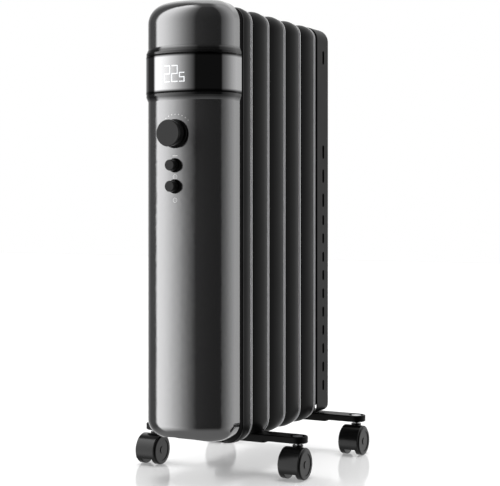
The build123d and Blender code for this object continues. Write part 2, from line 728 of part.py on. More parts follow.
with BuildPart() as lower_housing:
    extrude(to_extrude=tower_plan(tower_bottom, 0), amount=lower_top - tower_bottom)
    fillet(front_edges_at(lower_housing, tower_bottom), tower_bottom_radius)
    extrude(to_extrude=arch_cut(0), amount=2 * tower_depth, mode=Mode.SUBTRACT)
    extrude(to_extrude=tower_plan(lower_top - shoulder_land, shoulder_proud), amount=shoulder_land)
    loft(sections=[tower_plan(lower_top - shoulder_height, 0),
                   tower_plan(lower_top - shoulder_land, shoulder_proud)], ruled=True)
    add(lower_core.part, mode=Mode.SUBTRACT)
    with BuildSketch(xz_plane(tower_back_y - back_plate_thickness - fit_gap)):
        with Locations(*[(side * screw_boss_x, z) for side in (-1, 1)
                         for z in screw_boss_levels[:-1]]):
            Circle(screw_boss_diameter / 2)
    extrude(amount=screw_boss_length)
    with BuildSketch(xz_plane(tower_back_y)):
        with Locations(*[(side * screw_boss_x, z) for side in (-1, 1)
                         for z in screw_boss_levels[:-1]]):
            Circle(screw_pilot_diameter / 2)
    extrude(amount=screw_boss_length, mode=Mode.SUBTRACT)
    with BuildSketch(xz_plane(tower_back_y - tower_depth / 2)):
        with Locations((0, knob_z)):
            Circle(knob_spigot_diameter / 2 + hole_gap)
        with Locations((0, power_button_z), (0, mode_button_z)):
            Circle(button_spigot_diameter / 2 + hole_gap)
    extrude(amount=tower_depth, mode=Mode.SUBTRACT)
    with BuildSketch(Plane(origin=(-tower_half_width - 1.0, gland_y, gland_z), x_dir=(0, 1, 0),
                           z_dir=(1, 0, 0))):
        Circle(gland_diameter / 2 + fit_gap)
    extrude(amount=3 * tower_wall, mode=Mode.SUBTRACT)
save(lower_housing, "lower_housing")

with BuildPart() as cap_core:
    extrude(to_extrude=tower_plan(cap_bottom, -tower_wall),
            amount=overall_height - tower_wall - cap_bottom)
    fillet(front_edges_at(cap_core, overall_height - tower_wall), core_top_radius)

with BuildPart() as top_cap:
    extrude(to_extrude=tower_plan(cap_bottom, 0), amount=overall_height - cap_bottom)
    fillet(front_edges_at(top_cap, overall_height), tower_top_radius)
    extrude(to_extrude=tower_plan(cap_bottom, shoulder_proud), amount=shoulder_land)
    loft(sections=[tower_plan(cap_bottom + shoulder_land, shoulder_proud),
                   tower_plan(cap_bottom + shoulder_height, 0)], ruled=True)
    add(cap_core.part, mode=Mode.SUBTRACT)
    with BuildSketch(xz_plane(tower_back_y - back_plate_thickness - fit_gap)):
        with GridLocations(2 * screw_boss_x, 1, 2, 1):
            with Locations((0, screw_boss_levels[-1])):
                Circle(screw_boss_diameter / 2)
    extrude(amount=screw_boss_length)
    with BuildSketch(xz_plane(tower_back_y)):
        with GridLocations(2 * screw_boss_x, 1, 2, 1):
            with Locations((0, screw_boss_levels[-1])):
                Circle(screw_pilot_diameter / 2)
    extrude(amount=screw_boss_length, mode=Mode.SUBTRACT)
save(top_cap, "top_cap")

# ---------------------------------------------------------------- back plate of the tower
plate_inset = tower_wall + fit_gap
plate_window = (78.0, 40.0)
plug_opening_radius = 13.0
plate_bottom = tower_bottom + tower_wall + arch_rise + fit_gap
plate_top = overall_height - tower_wall - fit_gap
screw_diameter = 3.0
screw_clearance = 0.3
with BuildPart() as back_plate:
    plate_face = upright_face(tower_back_y, tower_half_width - plate_inset, plate_bottom, plate_top,
                              core_bottom_radius - fit_gap, core_top_radius - fit_gap)
    extrude(to_extrude=plate_face, amount=back_plate_thickness)
    with BuildSketch(xz_plane(tower_back_y)):
        with Locations((0, lower_duct_z)):
            Rectangle(*plate_window)
        with Locations((0, upper_duct_z)):
            Circle(plug_opening_radius)
        with Locations(*[(side * screw_boss_x, z) for side in (-1, 1) for z in screw_boss_levels]):
            Circle(screw_diameter / 2 + screw_clearance)
        with Locations(*[(side * standoff_x, z) for side in (-1, 1) for z in standoff_levels]):
            Circle(standoff_bolt_diameter / 2 + screw_clearance)
    extrude(amount=back_plate_thickness, mode=Mode.SUBTRACT)
save(back_plate, "back_plate")

screw_head_radius = 2.8
screw_head_height = 0.9
screw_length = 9.0
with BuildPart() as tower_screws:
    with BuildSketch(xz_plane(tower_back_y + screw_head_height)):
        with Locations(*[(side * screw_boss_x, z) for side in (-1, 1) for z in screw_boss_levels]):
            Circle(screw_head_radius)
    extrude(amount=screw_head_height)
    with BuildSketch(xz_plane(tower_back_y)):
        with Locations(*[(side * screw_boss_x, z) for side in (-1, 1) for z in screw_boss_levels]):
            Circle(screw_pilot_diameter / 2)
    extrude(amount=screw_length)
save(tower_screws, "tower_screws")

# ---------------------------------------------------------------- standoffs to the first fin
standoff_front = tower_back_y
standoff_rear = fin_rear_y[0] - panel_centre_offset - panel_thickness / 2
with BuildPart() as standoffs:
    with BuildSketch(xz_plane(standoff_rear)):
        with Locations(*[(side * standoff_x, z) for side in (-1, 1) for z in standoff_levels]):
            Circle(standoff_diameter / 2)
    extrude(amount=standoff_rear - standoff_front)
    with BuildSketch(xz_plane(standoff_front)):
        with Locations(*[(side * standoff_x, z) for side in (-1, 1) for z in standoff_levels]):
            Circle(standoff_bolt_diameter / 2)
    extrude(amount=back_plate_thickness + standoff_nut_height + 1.0)
save(standoffs, "standoffs")

with BuildPart() as standoff_nuts:
    with BuildSketch(xz_plane(tower_back_y - back_plate_thickness)):
        with Locations(*[(side * standoff_x, z) for side in (-1, 1) for z in standoff_levels]):
            RegularPolygon(standoff_nut_across / 2, 6, major_radius=False)
            Circle(standoff_bolt_diameter / 2 + foot_nut_gap, mode=Mode.SUBTRACT)
    extrude(amount=standoff_nut_height)
save(standoff_nuts, "standoff_nuts")

# ---------------------------------------------------------------- display band and its carrier
carrier_bottom = lower_top - carrier_tongue
carrier_top = cap_bottom + carrier_tongue
tongue_inset = tower_wall + fit_gap
window_inner = band_proud - band_thickness
module_z = band_bottom + band_height / 2

with BuildPart() as display_window:
    extrude(to_extrude=tower_plan(band_bottom, band_proud), amount=band_height)
    fillet(front_edges_at(display_window, band_top), band_edge_round)
    fillet(front_edges_at(display_window, band_bottom), band_edge_round)
    extrude(to_extrude=tower_plan(band_bottom, window_inner), amount=band_height,
            mode=Mode.SUBTRACT)
save(display_window, "display_window")

carrier_pad = window_inner - fit_gap
carrier_inner = -tongue_inset - carrier_wall
carrier_back_gap = back_plate_thickness + fit_gap
with BuildPart() as band_carrier:
    extrude(to_extrude=tower_plan(carrier_bottom, -tongue_inset),
            amount=carrier_top - carrier_bottom)
    extrude(to_extrude=tower_plan(band_bottom + fit_gap, carrier_pad),
            amount=band_height - 2 * fit_gap)
    extrude(to_extrude=tower_plan(carrier_bottom, carrier_inner),
            amount=carrier_top - carrier_bottom, mode=Mode.SUBTRACT)
    with BuildSketch(Plane(origin=(0, tower_back_y, carrier_bottom))):
        Rectangle(3 * tower_half_width, 2 * carrier_back_gap)
    extrude(amount=carrier_top - carrier_bottom, mode=Mode.SUBTRACT)
    with BuildSketch(xz_plane(tower_back_y - tower_depth / 2)):
        with Locations((0, module_z)):
            Rectangle(module_width + 2 * fit_gap, module_height + 2 * fit_gap)
    extrude(amount=tower_depth, mode=Mode.SUBTRACT)
save(band_carrier, "band_carrier")

module_front_y = tower_front_at(module_width / 2, window_inner) + fit_gap
with BuildPart() as display_module:
    with BuildSketch(xz_plane(module_front_y + screen_depth)):
        with Locations((0, module_z)):
            Rectangle(module_width, module_height)
    extrude(amount=screen_depth)
    with BuildSketch(xz_plane(module_front_y + screen_depth + board_thickness)):
        with Locations((0, module_z)):
            Rectangle(module_width, module_height)
    extrude(amount=board_thickness)
save(display_module, "display_module")

SEGMENTS = {"2": "abged", "5": "afgcd"}


def digit_bars(symbol, left, base, width, height):
    """Centre and size of each lit bar of a seven segment figure."""
    middle_x = left + width / 2
    half = height / 2
    across = (width - digit_stroke * 0.3, digit_stroke)
    upright = (digit_stroke, half - digit_stroke * 0.3)
    bars = {
        "a": ((middle_x, base + height - digit_stroke / 2), across),
        "g": ((middle_x, base + half), across),
        "d": ((middle_x, base + digit_stroke / 2), across),
        "b": ((left + width - digit_stroke / 2, base + half * 1.5), upright),
        "f": ((left + digit_stroke / 2, base + half * 1.5), upright),
        "c": ((left + width - digit_stroke / 2, base + half / 2), upright),
        "e": ((left + digit_stroke / 2, base + half / 2), upright),
    }
    return [bars[segment] for segment in SEGMENTS[symbol]]


reading_width = 2 * digit_width + small_digit_width + 2 * digit_gap
reading_left = -reading_width / 2
figures = (
    ("2", reading_left, digit_width, digit_height),
    ("2", reading_left + digit_width + digit_gap, digit_width, digit_height),
    ("5", reading_left + 2 * (digit_width + digit_gap), small_digit_width, small_digit_height),
)
with BuildPart() as digit_skin:
    extrude(to_extrude=tower_plan(band_bottom, band_proud + digit_relief + fit_gap / 10),
            amount=band_height)
    extrude(to_extrude=tower_plan(band_bottom, band_proud + fit_gap / 10),
            amount=band_height, mode=Mode.SUBTRACT)

with BuildPart() as display_digits:
    with BuildSketch(xz_plane(tower_back_y - tower_depth / 2)):
        for symbol, left, width, height in figures:
            for centre, size in digit_bars(symbol, left, digit_base_z, width, height):
                with Locations(centre):
                    Rectangle(*size)
    extrude(amount=tower_depth)
    add(digit_skin.part, mode=Mode.INTERSECT)
save(display_digits, "display_digits")

# ---------------------------------------------------------------- knob, buttons and switches
front_y = tower_front_at(0)
spigot_rear_y = front_y + tower_wall + bezel_spigot_length


def bezel_ring(z, diameter, spigot, bore):
    """Domed ring on the tower's front, with a spigot that goes through the wall."""
    with BuildPart(mode=Mode.PRIVATE) as ring:
        with BuildSketch(xz_plane(front_y + tower_wall)):
            with Locations((0, z)):
                Circle(diameter / 2)
        extrude(amount=tower_wall + bezel_height)
        front_rim = ring.edges().filter_by(GeomType.CIRCLE).sort_by(Axis.Y)[0]
        fillet(front_rim, bezel_dome_radius)
        extrude(to_extrude=tower_plan(z - diameter, seat_gap), amount=2 * diameter,
                mode=Mode.SUBTRACT)
        with BuildSketch(xz_plane(spigot_rear_y)):
            with Locations((0, z)):
                Circle(spigot / 2)
        extrude(amount=spigot_rear_y - front_y + bezel_height / 2)
        with BuildSketch(xz_plane(spigot_rear_y)):
            with Locations((0, z)):
                Circle(bore / 2)
        extrude(amount=tower_depth, mode=Mode.SUBTRACT)
    return ring.part


shaft_bore = shaft_diameter + 2 * shaft_gap
with BuildPart() as knob_bezel:
    add(bezel_ring(knob_z, knob_bezel_diameter, knob_spigot_diameter, shaft_bore))
save(knob_bezel, "knob_bezel")

button_bore = button_diameter + 2 * button_clearance
with BuildPart() as button_bezels:
    for button_z in (power_button_z, mode_button_z):
        add(bezel_ring(button_z, button_bezel_diameter, button_spigot_diameter, button_bore))
save(button_bezels, "button_bezels")

knob_face_y = front_y - knob_reach
knob_rear_y = front_y - bezel_height - knob_turn_gap
knob_bore_depth = 9.0
with BuildPart() as knob:
    with BuildSketch(xz_plane(knob_rear_y)):
        with Locations((0, knob_z)):
            Circle(knob_diameter / 2 - knob_waist)
    extrude(amount=knob_rear_y - knob_face_y)
    with BuildSketch(xz_plane(knob_face_y + knob_lip)):
        with Locations((0, knob_z)):
            Circle(knob_diameter / 2)
    extrude(amount=knob_lip)
    fillet(knob.edges().filter_by(GeomType.CIRCLE).sort_by(Axis.Y)[0], 1.2)
    with BuildSketch(xz_plane(knob_rear_y)):
        with Locations((0, knob_z)):
            Circle(shaft_diameter / 2 + shaft_clearance)
    extrude(amount=knob_bore_depth, mode=Mode.SUBTRACT)
save(knob, "knob")

control_board_y = front_y + board_setback
thermostat_front_y = control_board_y - thermostat_depth
shaft_front_y = knob_rear_y - knob_bore_depth + fit_gap
shaft_rear_y = thermostat_front_y + thermostat_depth / 2
with BuildPart() as thermostat_shaft:
    with BuildSketch(xz_plane(shaft_rear_y)):
        with Locations((0, knob_z)):
            Circle(shaft_diameter / 2)
    extrude(amount=shaft_rear_y - shaft_front_y)
save(thermostat_shaft, "thermostat_shaft")

with BuildPart() as thermostat:
    with BuildSketch(xz_plane(control_board_y)):
        with Locations((0, knob_z)):
            RectangleRounded(thermostat_size, thermostat_size, 3.0)
    extrude(amount=thermostat_depth)
    with BuildSketch(xz_plane(shaft_rear_y + fit_gap)):
        with Locations((0, knob_z)):
            Circle(shaft_bore / 2)
    extrude(amount=thermostat_depth, mode=Mode.SUBTRACT)
save(thermostat, "thermostat")

button_face_y = front_y - button_reach
button_shoulder_y = spigot_rear_y - button_travel - fit_gap
switch_front_y = control_board_y - switch_depth
stem_rear_y = switch_front_y - button_travel - fit_gap


def make_button(name, z):
    """Round push button: a stub that slides in its bezel and a stem behind it."""
    with BuildPart() as button:
        with BuildSketch(xz_plane(button_shoulder_y)):
            with Locations((0, z)):
                Circle(button_diameter / 2)
        extrude(amount=button_shoulder_y - button_face_y)
        fillet(button.edges().filter_by(GeomType.CIRCLE).sort_by(Axis.Y)[0], 1.0)
        with BuildSketch(xz_plane(stem_rear_y)):
            with Locations((0, z)):
                Circle(button_stem_diameter / 2)
        extrude(amount=stem_rear_y - button_shoulder_y)
    save(button, name)


make_button("power_button", power_button_z)
make_button("mode_button", mode_button_z)

with BuildPart() as button_switches:
    with BuildSketch(xz_plane(control_board_y)):
        with Locations((0, power_button_z), (0, mode_button_z)):
            RectangleRounded(switch_size, switch_size, 1.0)
    extrude(amount=switch_depth)
save(button_switches, "button_switches")

control_board_rear_y = control_board_y + board_thickness
with BuildPart() as control_board:
    with BuildSketch(xz_plane(control_board_rear_y)):
        with Locations((0, control_board_z)):
            RectangleRounded(control_board_width, control_board_height, 2.0)
    extrude(amount=board_thickness)
save(control_board, "control_board")

plate_face_y = tower_back_y - back_plate_thickness
module_rear_y = module_front_y + screen_depth + board_thickness
with BuildPart() as board_spacers:
    for rear_face_y, centre_z, width, height in (
        (control_board_rear_y, control_board_z, control_board_width, control_board_height),
        (module_rear_y, module_z, module_width, module_height),
    ):
        with BuildSketch(xz_plane(plate_face_y)):
            with Locations((0, centre_z)):
                with GridLocations(width - 2 * board_post_inset, height - 2 * board_post_inset, 2, 2):
                    Circle(board_post_diameter / 2)
        extrude(amount=plate_face_y - rear_face_y)
save(board_spacers, "board_spacers")

# ---------------------------------------------------------------- electrics on the back plate
with BuildPart() as power_board:
    with BuildSketch(xz_plane(plate_face_y)):
        with Locations((0, power_board_z)):
            with GridLocations(power_board_width - 12, power_board_height - 12, 2, 2):
                Circle(3.0)
    extrude(amount=board_post_length)
    with BuildSketch(xz_plane(plate_face_y - board_post_length)):
        with Locations((0, power_board_z)):
            Rectangle(power_board_width, power_board_height)
    extrude(amount=board_thickness)
    with BuildSketch(xz_plane(plate_face_y - board_post_length - board_thickness)):
        with Locations((-14, power_board_z + 12)):
            Rectangle(20, 28)
        with Locations((16, power_board_z - 14)):
            Rectangle(22, 18)
    extrude(amount=relay_height)
save(power_board, "power_board")

with BuildPart() as terminal_block:
    with BuildSketch(xz_plane(plate_face_y)):
        with Locations((0, terminal_block_z)):
            RectangleRounded(terminal_block_width, terminal_block_height, 2.0)
    extrude(amount=terminal_block_depth)
    with BuildSketch(xz_plane(plate_face_y - terminal_block_depth)):
        with Locations((0, terminal_block_z)):
            with GridLocations(terminal_pitch, 1, 3, 1):
                Circle(2.2)
    extrude(amount=-terminal_hole_depth, mode=Mode.SUBTRACT)
save(terminal_block, "terminal_block")

with BuildPart() as thermal_cutout:
    with BuildSketch(xz_plane(plate_face_y)):
        with Locations((0, thermal_cutout_z)):
            SlotOverall(thermal_cutout_length, thermal_cutout_diameter)
    extrude(amount=2.0)
    with BuildSketch(xz_plane(plate_face_y - 2.0)):
        with Locations((0, thermal_cutout_z)):
            Circle(thermal_cutout_diameter / 2)
    extrude(amount=8.0)
save(thermal_cutout, "thermal_cutout")

with BuildPart() as tip_over_switch:
    with BuildSketch(xz_plane(plate_face_y)):
        with Locations((tip_switch_x, thermal_cutout_z)):
            RectangleRounded(tip_switch_width, tip_switch_height, 2.0)
    extrude(amount=tip_switch_depth)
save(tip_over_switch, "tip_over_switch")

# ---------------------------------------------------------------- cord inlet
gland_plane = Plane(origin=(-tower_half_width + tower_wall + gland_inner_length, gland_y, gland_z),
                    x_dir=(0, 1, 0), z_dir=(-1, 0, 0))
with BuildPart() as cord_gland:
    with BuildSketch(gland_plane):
        Circle(gland_diameter / 2)
    extrude(amount=gland_inner_length + tower_wall)
    with BuildSketch(gland_plane.offset(gland_inner_length + tower_wall)):
        Circle(gland_flange_diameter / 2)
    extrude(amount=gland_flange_thickness)
    fillet(cord_gland.edges().filter_by(GeomType.CIRCLE).sort_by(Axis.X)[0], 1.0)
    with BuildSketch(gland_plane):
        Circle(cord_bore / 2)
    extrude(amount=2 * tower_half_width, mode=Mode.SUBTRACT)
save(cord_gland, "cord_gland")
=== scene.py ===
import math

import bpy
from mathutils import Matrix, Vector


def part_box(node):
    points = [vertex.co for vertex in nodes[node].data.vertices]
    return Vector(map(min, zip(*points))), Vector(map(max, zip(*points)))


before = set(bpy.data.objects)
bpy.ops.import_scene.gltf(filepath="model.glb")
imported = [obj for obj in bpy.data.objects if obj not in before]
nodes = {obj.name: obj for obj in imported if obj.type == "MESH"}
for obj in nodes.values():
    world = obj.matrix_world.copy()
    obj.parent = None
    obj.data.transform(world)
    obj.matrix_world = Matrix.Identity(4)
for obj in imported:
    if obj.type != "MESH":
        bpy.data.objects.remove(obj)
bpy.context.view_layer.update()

MM = 0.001
FIN_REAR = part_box("fin_1")[1].y
FIN_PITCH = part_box("fin_2")[1].y - FIN_REAR
# Width of the painted highlight band along each fin's rear edge.
HEM_HIGHLIGHT_WIDTH = 5.6 * MM
HEM_HIGHLIGHT_MARGIN = 0.1 * MM
SEAM_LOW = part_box("display_window")[0].z
SEAM_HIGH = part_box("display_window")[1].z
TOWER_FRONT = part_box("lower_housing")[0].y
KNOB = (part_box("knob")[0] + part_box("knob")[1]) / 2
POWER = (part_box("power_button")[0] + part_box("power_button")[1]) / 2
MODE = (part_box("mode_button")[0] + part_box("mode_button")[1]) / 2
KNOB_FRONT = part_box("knob")[0].y
KNOB_RIM = 1.2 * MM

# Printed legends on the front of the tower: drops are below the centre of the control.
SCALE_RADIUS = 24.5 * MM
SCALE_START = -120
SCALE_END = 48
SCALE_STEP = 12
DOT_SMALL = 0.25 * MM
DOT_LARGE = 0.85 * MM
KNOB_LEGEND_DROP = 28 * MM
POWER_LEGEND_DROP = 14.6 * MM
MODE_LEGEND_DROP = 17.5 * MM
FRONT_DEPTH = 20 * MM

SHELL_METAL = 0.74
FLOOR_SIZE = 6.0

# Brightness of the room round the heater: degrees from the front toward +X, then the level.
ROOM = [(-180, 1.05), (-168, 1.05), (-138, 1.05), (-124, 0.36), (-102, 0.05), (-80, 0.04),
        (-73, 2.45), (-57, 2.20), (-46, 1.85), (-35, 1.38), (-26, 1.00), (-16, 0.60), (-7, 0.33),
        (2, 0.14), (8, 0.01), (72, 0.01), (77, 0.16), (94, 0.36), (116, 0.66), (130, 0.80),
        (151, 0.92), (158, 0.72), (166, 0.80), (174, 1.00)]
CEILING_LEVEL = 0.12
GROUND_LEVEL = 0.32

CAMERA_PLACE = (0.8483, -1.5432, 0.3566)
CAMERA_TURN = math.radians(28.14)
CAMERA_LENS = 92.43
CAMERA_SHIFT = -0.074


class Graph:
    """A small wrapper that adds shader nodes and joins them."""

    def __init__(self, tree):
        self.tree = tree
        tree.nodes.clear()

    def add(self, kind, inputs=None, **settings):
        node = self.tree.nodes.new(kind)
        for key, value in settings.items():
            setattr(node, key, value)
        for key, value in (inputs or {}).items():
            socket = node.inputs[key]
            if hasattr(value, "is_output"):
                self.tree.links.new(value, socket)
            else:
                socket.default_value = value
        return node

    def math(self, operation, *values):
        node = self.add("ShaderNodeMath", operation=operation)
        for index, value in enumerate(values):
            if hasattr(value, "is_output"):
                self.tree.links.new(value, node.inputs[index])
            else:
                node.inputs[index].default_value = value
        return node.outputs[0]

    def mix(self, factor, a, b):
        node = self.add("ShaderNodeMix", data_type="RGBA")
        for socket, value in ((node.inputs[0], factor), (node.inputs[6], a), (node.inputs[7], b)):
            if hasattr(value, "is_output"):
                self.tree.links.new(value, socket)
            else:
                socket.default_value = value
        return node.outputs[2]

    def ramp(self, value, low, high, to_low, to_high):
        node = self.add("ShaderNodeMapRange", inputs={
            "Value": value, "From Min": low, "From Max": high, "To Min": to_low, "To Max": to_high})
        return node.outputs[0]

    def position(self):
        return self.add("ShaderNodeTexCoord").outputs["Object"]

    def noise(self, scale, detail=3.0, roughness=0.55, stretch=(1, 1, 1)):
        mapping = self.add("ShaderNodeMapping", inputs={"Vector": self.position(), "Scale": stretch})
        texture = self.add("ShaderNodeTexNoise", inputs={
            "Vector": mapping.outputs[0], "Scale": scale, "Detail": detail, "Roughness": roughness})
        return texture.outputs[0]

    def bump(self, height, strength, distance):
        node = self.add("ShaderNodeBump", inputs={
            "Height": height, "Strength": strength, "Distance": distance})
        return node.outputs[0]


def grey(value, tint=1.0):
    return (value, value, value * tint, 1.0)


def surface(name, colour, rough, metal=0.0, coat=0.0, coat_rough=0.05, ior_level=0.5,
            grain=900.0, grain_strength=0.1, grain_depth=0.00004, tone=0.08, stretch=(1, 1, 1)):
    """Painted, moulded or plated finish: uneven tone, uneven gloss and a fine surface grain."""
    material = bpy.data.materials.new(name)
    material.use_nodes = True
    g = Graph(material.node_tree)
    broad = g.noise(9.0, 3.0)
    fine = g.noise(grain, 2.0, stretch=stretch)
    dark = tuple(c * (1 - tone) for c in colour[:3]) + (1.0,)
    light = tuple(min(1.0, c * (1 + tone)) for c in colour[:3]) + (1.0,)
    blend = g.math("MULTIPLY_ADD", fine, 0.5, g.math("MULTIPLY", broad, 0.5))
    base = g.mix(blend, dark, light)
    roughness = g.ramp(broad, 0.3, 0.7, rough * 0.88, rough * 1.14)
    shader = g.add("ShaderNodeBsdfPrincipled", inputs={
        "Base Color": base, "Roughness": roughness, "Metallic": metal, "Coat Weight": coat,
        "Coat Roughness": coat_rough, "Specular IOR Level": ior_level,
        "Normal": g.bump(fine, grain_strength, grain_depth)})
    g.add("ShaderNodeOutputMaterial", inputs={"Surface": shader.outputs[0]})
    return material, g, shader, base, roughness


def relink(g, shader, socket, value):
    """Replaces what feeds a socket of the shader."""
    g.tree.links.new(value, shader.inputs[socket])


# ---------------------------------------------------------------- finishes
def fin_finish():
    """Satin black powder coat with a painted highlight: a bright metal band on the rolled rear hem."""
    material, g, shader, base, rough = surface(
        "fin_powder_coat", grey(0.005, 1.04), 0.40, ior_level=0.18,
        grain=2200.0, grain_strength=0.12, grain_depth=0.00003)
    axis = g.add("ShaderNodeSeparateXYZ", inputs={"Vector": g.position()}).outputs[1]
    # Painted highlight: a bright metallic band on each fin's rear edge stands in for the rim light on
    # the hem.
    hem_highlight_start = FIN_REAR - HEM_HIGHLIGHT_WIDTH
    along = g.math("SUBTRACT", g.math("WRAP", axis, hem_highlight_start + FIN_PITCH, hem_highlight_start), hem_highlight_start)
    hem_highlight = g.math("LESS_THAN", along, HEM_HIGHLIGHT_WIDTH + HEM_HIGHLIGHT_MARGIN)
    relink(g, shader, "Base Color", g.mix(hem_highlight, base, grey(0.97, 1.01)))
    relink(g, shader, "Roughness", g.math("MULTIPLY", rough, g.ramp(hem_highlight, 0, 1, 1.0, 1.1)))
    relink(g, shader, "Metallic", g.math("MULTIPLY", hem_highlight, 0.92))
    return material


def shell_finish():
    """Gloss graphite moulding with a fine flake, painted dark reflections on the seam flares and bright
    printed legends.
    """
    material, g, shader, base, _ = surface(
        "tower_graphite", grey(0.35, 1.01), 0.10, coat=0.1,
        grain=3500.0, grain_strength=0.02, grain_depth=0.00001, tone=0.04)
    parts = g.add("ShaderNodeSeparateXYZ", inputs={"Vector": g.position()})
    x, y, z = parts.outputs[0], parts.outputs[1], parts.outputs[2]
    facing = g.math("LESS_THAN", y, TOWER_FRONT + FRONT_DEPTH)
    # Painted dark reflection: the shell is darkened toward near black by height on the flares just below
    # and above the band.
    below = g.ramp(z, SEAM_LOW - 10 * MM, SEAM_LOW - 5 * MM, 0.0, 1.0)
    above = g.ramp(z, SEAM_HIGH + 6 * MM, SEAM_HIGH + 11 * MM, 1.0, 0.0)
    flare_painted_reflection = g.math("MULTIPLY", below, above)
    base = g.mix(g.math("MULTIPLY", flare_painted_reflection, 0.85), base, grey(0.03))

    def around(cx, cz):
        dx = g.math("SUBTRACT", x, cx)
        dz = g.math("SUBTRACT", z, cz)
        return g.math("SQRT", g.math("ADD", g.math("MULTIPLY", dx, dx), g.math("MULTIPLY", dz, dz)))

    def dot(cx, cz, radius):
        return g.math("LESS_THAN", around(cx, cz), radius)

    def ring(cx, cz, radius, width):
        off = g.math("ABSOLUTE", g.math("SUBTRACT", around(cx, cz), radius))
        return g.math("LESS_THAN", off, width / 2)

    def bar(cx, cz, wide, tall):
        across = g.math("LESS_THAN", g.math("ABSOLUTE", g.math("SUBTRACT", x, cx)), wide / 2)
        upright = g.math("LESS_THAN", g.math("ABSOLUTE", g.math("SUBTRACT", z, cz)), tall / 2)
        return g.math("MULTIPLY", across, upright)

    marks = bar(0.0, KNOB.z - KNOB_LEGEND_DROP, 7 * MM, 0.9 * MM)
    for angle in range(SCALE_START, SCALE_END + 1, SCALE_STEP):
        turn = math.radians(90 - angle)
        share = (angle - SCALE_START) / (SCALE_END - SCALE_START)
        size = DOT_SMALL + (DOT_LARGE - DOT_SMALL) * share
        place = (SCALE_RADIUS * math.cos(turn), KNOB.z + SCALE_RADIUS * math.sin(turn))
        marks = g.math("MAXIMUM", marks, dot(*place, size))
    for centre in (POWER.z - POWER_LEGEND_DROP, MODE.z - MODE_LEGEND_DROP):
        marks = g.math("MAXIMUM", marks, ring(0.0, centre, 2.8 * MM, 0.5 * MM))
        marks = g.math("MAXIMUM", marks, bar(0.0, centre, 0.5 * MM, 2.4 * MM))
    marks = g.math("MULTIPLY", marks, facing)
    relink(g, shader, "Base Color", g.mix(marks, base, grey(0.60)))
    relink(g, shader, "Metallic", g.ramp(marks, 0, 1, SHELL_METAL, 1.0))
    return material


def window_finish():
    """Polished dark band with a painted dark reflection: near black along both seams."""
    material, g, shader, base, _ = surface(
        "band_window", grey(0.45, 1.01), 0.035, metal=0.995,
        grain=400.0, grain_strength=0.005, grain_depth=0.00001, tone=0.02)
    z = g.add("ShaderNodeSeparateXYZ", inputs={"Vector": g.position()}).outputs[2]
    # Painted dark reflection: the colour falls to near black within a few millimetres of each seam.
    rise = g.ramp(z, SEAM_LOW + 1.5 * MM, SEAM_LOW + 4.5 * MM, 0.0, 1.0)
    fall = g.ramp(z, SEAM_HIGH - 4.5 * MM, SEAM_HIGH - 1.5 * MM, 1.0, 0.0)
    relink(g, shader, "Base Color", g.mix(g.math("MULTIPLY", rise, fall), grey(0.012), base))
    return material


def knob_finish():
    """Dark satin knob: matt face, glossier turned side."""
    material, g, shader, _, rough = surface(
        "knob_satin", grey(0.010, 1.02), 0.30, grain=2600.0, grain_strength=0.15, grain_depth=0.00003)
    y = g.add("ShaderNodeSeparateXYZ", inputs={"Vector": g.position()}).outputs[1]
    side = g.math("GREATER_THAN", y, KNOB_FRONT + KNOB_RIM)
    relink(g, shader, "Coat Weight", side)
    relink(g, shader, "Roughness", g.math("MULTIPLY", rough, g.ramp(side, 0, 1, 1.0, 0.8)))
    shader.inputs["Coat Roughness"].default_value = 0.20
    return material


def digit_finish():
    """Lit figures with a slightly uneven glow."""
    material = bpy.data.materials.new("lit_figures")
    material.use_nodes = True
    g = Graph(material.node_tree)
    glow = g.ramp(g.noise(260.0), 0.3, 0.7, 0.62, 0.82)
    shader = g.add("ShaderNodeBsdfPrincipled", inputs={
        "Base Color": g.mix(g.noise(90.0), grey(0.80, 1.02), grey(0.92, 1.02)), "Roughness": 0.4,
        "Emission Color": (0.93, 0.97, 1.0, 1.0), "Emission Strength": glow})
    g.add("ShaderNodeOutputMaterial", inputs={"Surface": shader.outputs[0]})
    return material


FINISHES = {
    "fin": fin_finish(),
    "shell": shell_finish(),
    "window": window_finish(),
    "digits": digit_finish(),
    "steel_black": surface("black_steel", grey(0.005, 1.04), 0.40, ior_level=0.18,
                           grain=2200.0, grain_strength=0.12, grain_depth=0.00003)[0],
    "element": surface("element_paint", grey(0.012), 0.45, grain=1500.0, grain_strength=0.15)[0],
    "zinc": surface("zinc_plate", (0.60, 0.61, 0.62, 1), 0.30, metal=1.0, grain=700.0,
                    grain_strength=0.15, tone=0.12, stretch=(1, 1, 6))[0],
    "brass": surface("nickel_brass", (0.62, 0.56, 0.42, 1), 0.28, metal=1.0, grain=900.0,
                     grain_strength=0.1, tone=0.1)[0],
    "sheet": surface("galvanised", (0.46, 0.47, 0.48, 1), 0.38, metal=1.0, grain=160.0,
                     grain_strength=0.12, tone=0.2)[0],
    "knob": knob_finish(),
    "button": surface("button_satin", grey(0.010, 1.02), 0.30, ior_level=0.42, grain=2600.0,
                      grain_strength=0.15, grain_depth=0.00003)[0],
    "gloss": surface("collar_black", grey(0.003, 1.04), 0.26, ior_level=0.15, grain=900.0,
                     grain_strength=0.05)[0],
    "wheel": surface("castor_gloss", grey(0.004, 1.04), 0.30, ior_level=0.40, coat=0.15, coat_rough=0.14,
                     grain=1200.0, grain_strength=0.08)[0],
    "hood": surface("castor_hood", grey(0.006, 1.04), 0.28, coat=0.25, coat_rough=0.16,
                    grain=1500.0, grain_strength=0.10)[0],
    "inner": surface("inner_moulding", grey(0.06), 0.5, grain=1300.0, grain_strength=0.25)[0],
    "board": surface("circuit_board", (0.02, 0.12, 0.05, 1), 0.35, coat=0.4, grain=500.0,
                     grain_strength=0.2, tone=0.3)[0],
    "rubber": surface("gland_rubber", grey(0.015), 0.6, grain=1500.0, grain_strength=0.3)[0],
}

